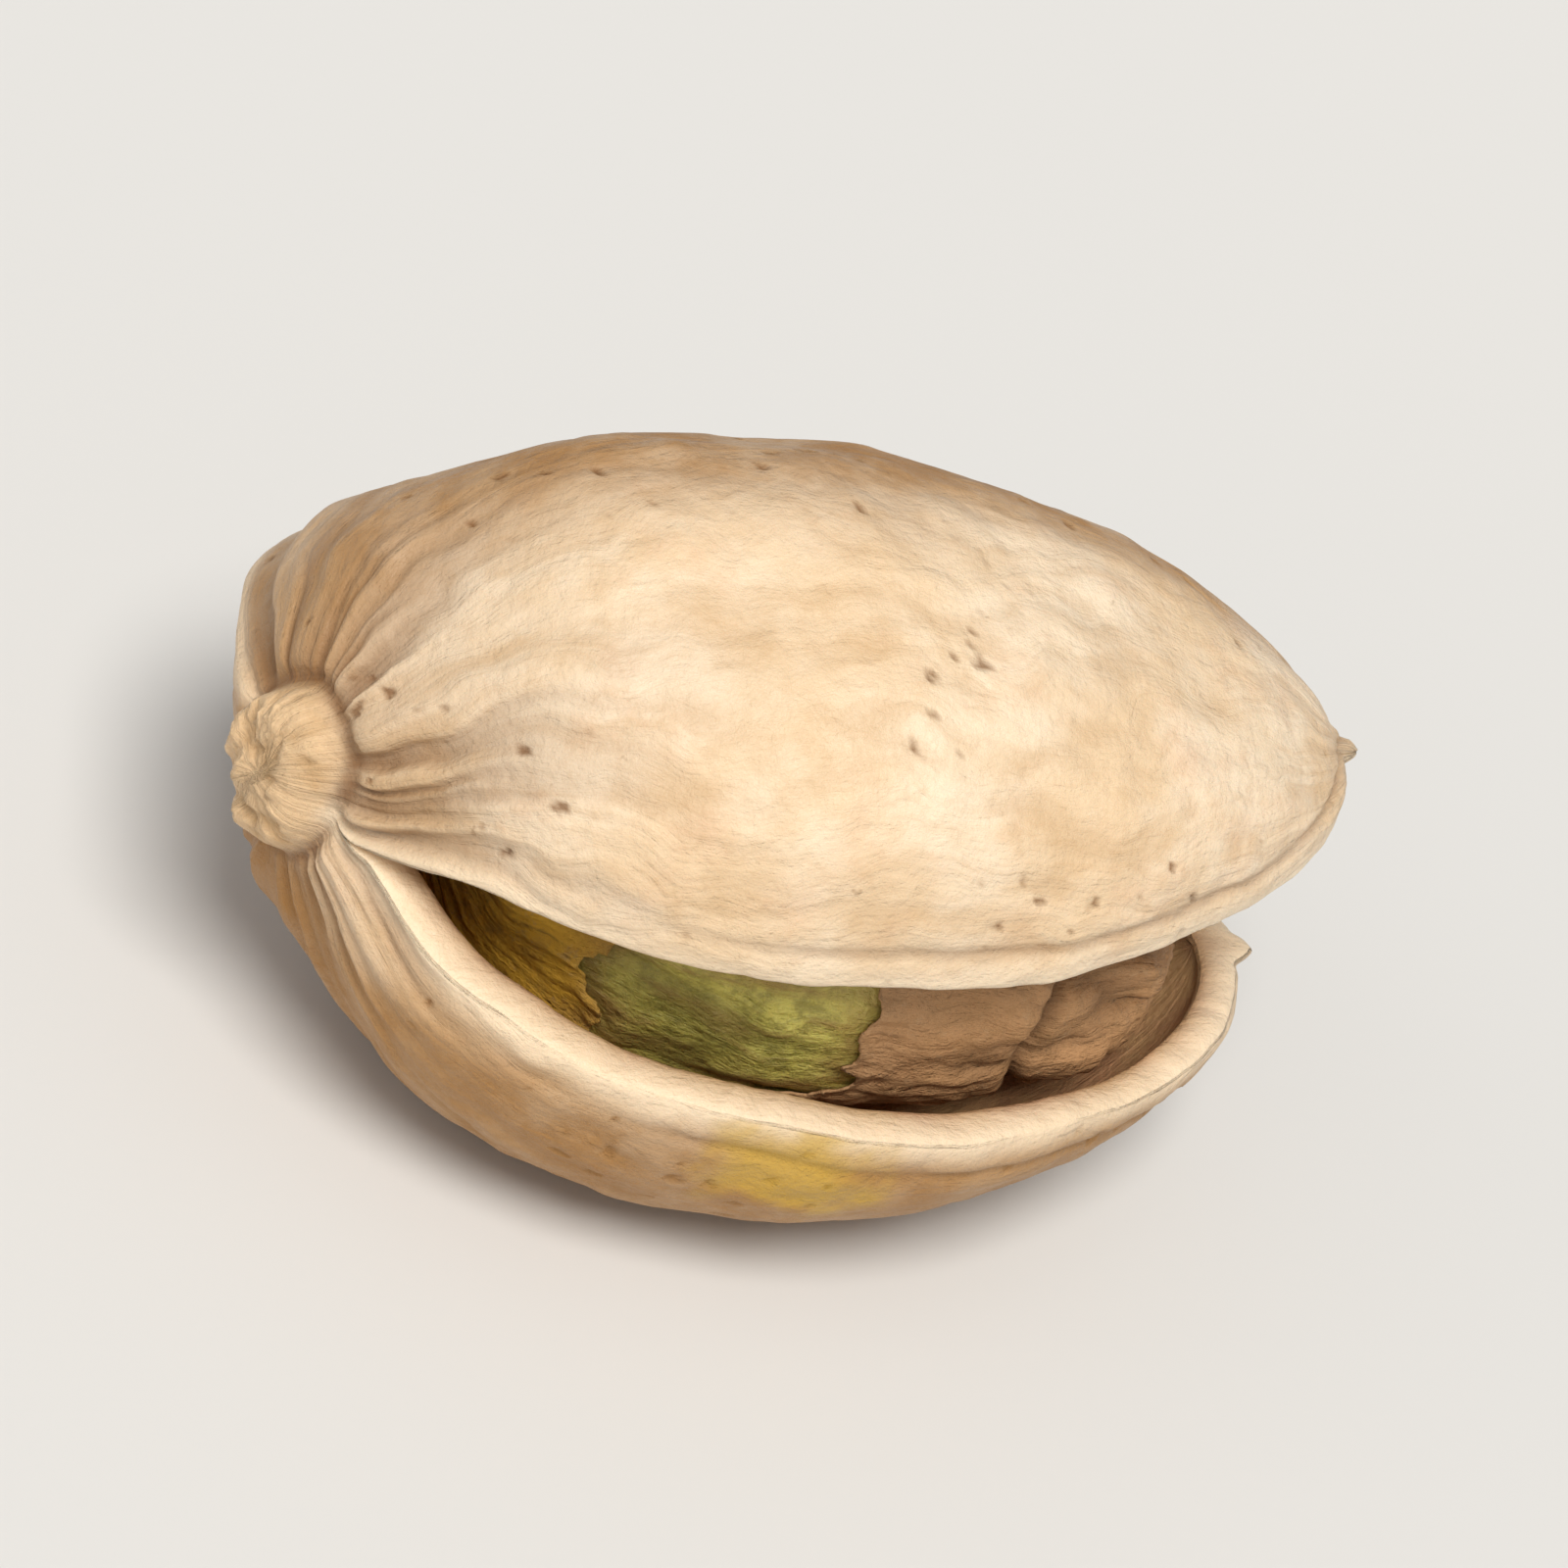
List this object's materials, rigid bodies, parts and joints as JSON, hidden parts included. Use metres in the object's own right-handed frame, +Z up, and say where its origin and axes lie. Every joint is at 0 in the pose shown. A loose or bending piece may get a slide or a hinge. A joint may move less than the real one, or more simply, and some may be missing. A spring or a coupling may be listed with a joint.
{
  "type": "pistachio in shell",
  "caption": "Half-open pistachio lying on its side, its split woody shell joined at the stem end around a green seed in a torn papery coat.",
  "frame": {"origin": "centre of the bottom of the bounding box, on the surface the nut lies on", "axes": "+Z up out of the level seam plane, +X along the nut from the stem scar to the beak, -Y towards the belly seam where the split faces"},
  "size_m": [0.0214, 0.0142, 0.0147],
  "materials": {
    "shell": "dry, pale and finely ribbed, with a slight satin",
    "kernel": "matt green seed flesh",
    "skin": "dry papery seed coat"
  },
  "bodies": {
    "root": {"shell": "shell", "kernel": "kernel", "skin": "skin"}
  },
  "joints": []
}
